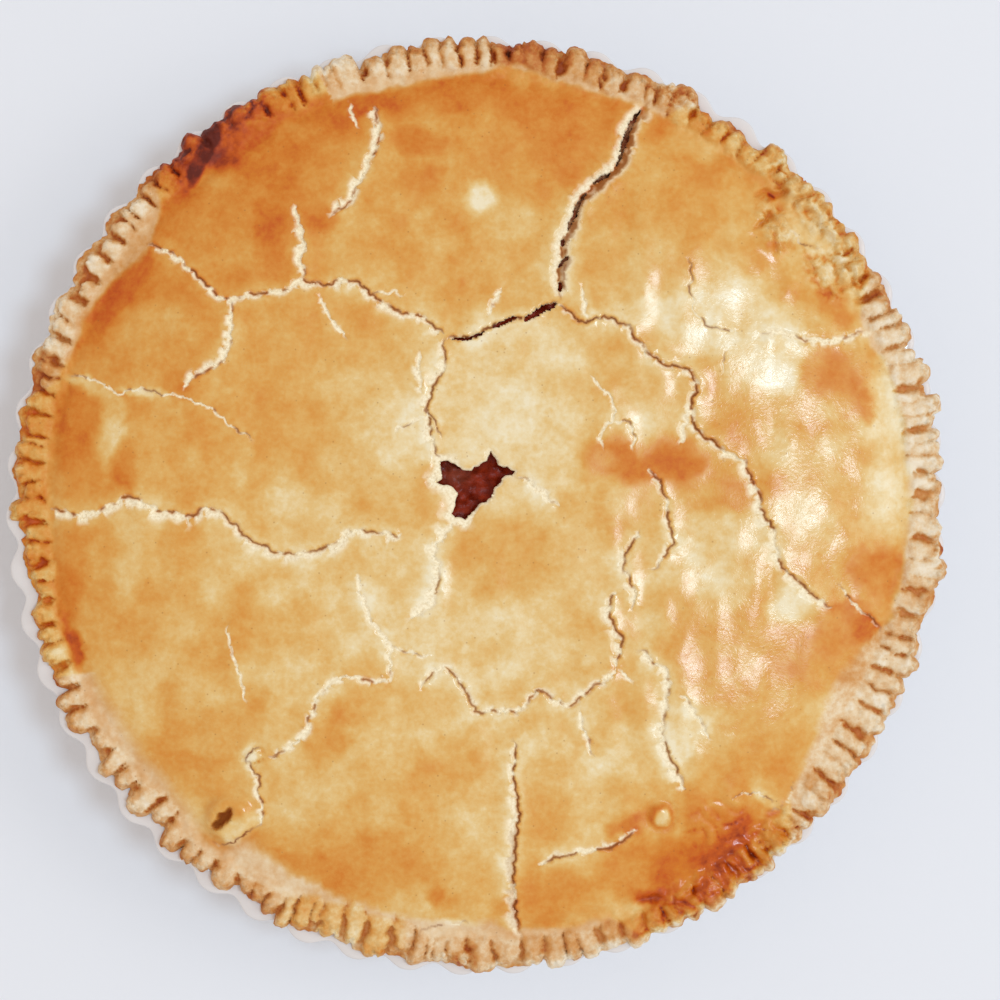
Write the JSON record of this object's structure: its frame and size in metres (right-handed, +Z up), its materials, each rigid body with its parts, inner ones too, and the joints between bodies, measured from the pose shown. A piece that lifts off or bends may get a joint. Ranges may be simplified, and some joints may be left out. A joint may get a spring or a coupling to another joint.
{
  "type": "corned beef pie in its dish",
  "caption": "Round corned beef pie with a golden cracked pastry lid, torn steam hole and fork-crimped border, baked and served in a white fluted flan dish.",
  "frame": {"origin": "middle of the dish's flat underside, on the surface it stands on", "axes": "+Z up through the middle of the pie; seen from above +X is to the right of the picture and +Y to its top"},
  "size_m": [0.2812, 0.2798, 0.0542],
  "materials": {
    "white_glaze": "smooth white glaze",
    "corned_beef": "moist, dark red-brown, glossy",
    "baked_pastry": "egg-washed golden shortcrust, floury at the cracks"
  },
  "bodies": {
    "root": {"dish": "white_glaze", "filling": "corned_beef", "crust": "baked_pastry"}
  },
  "joints": []
}
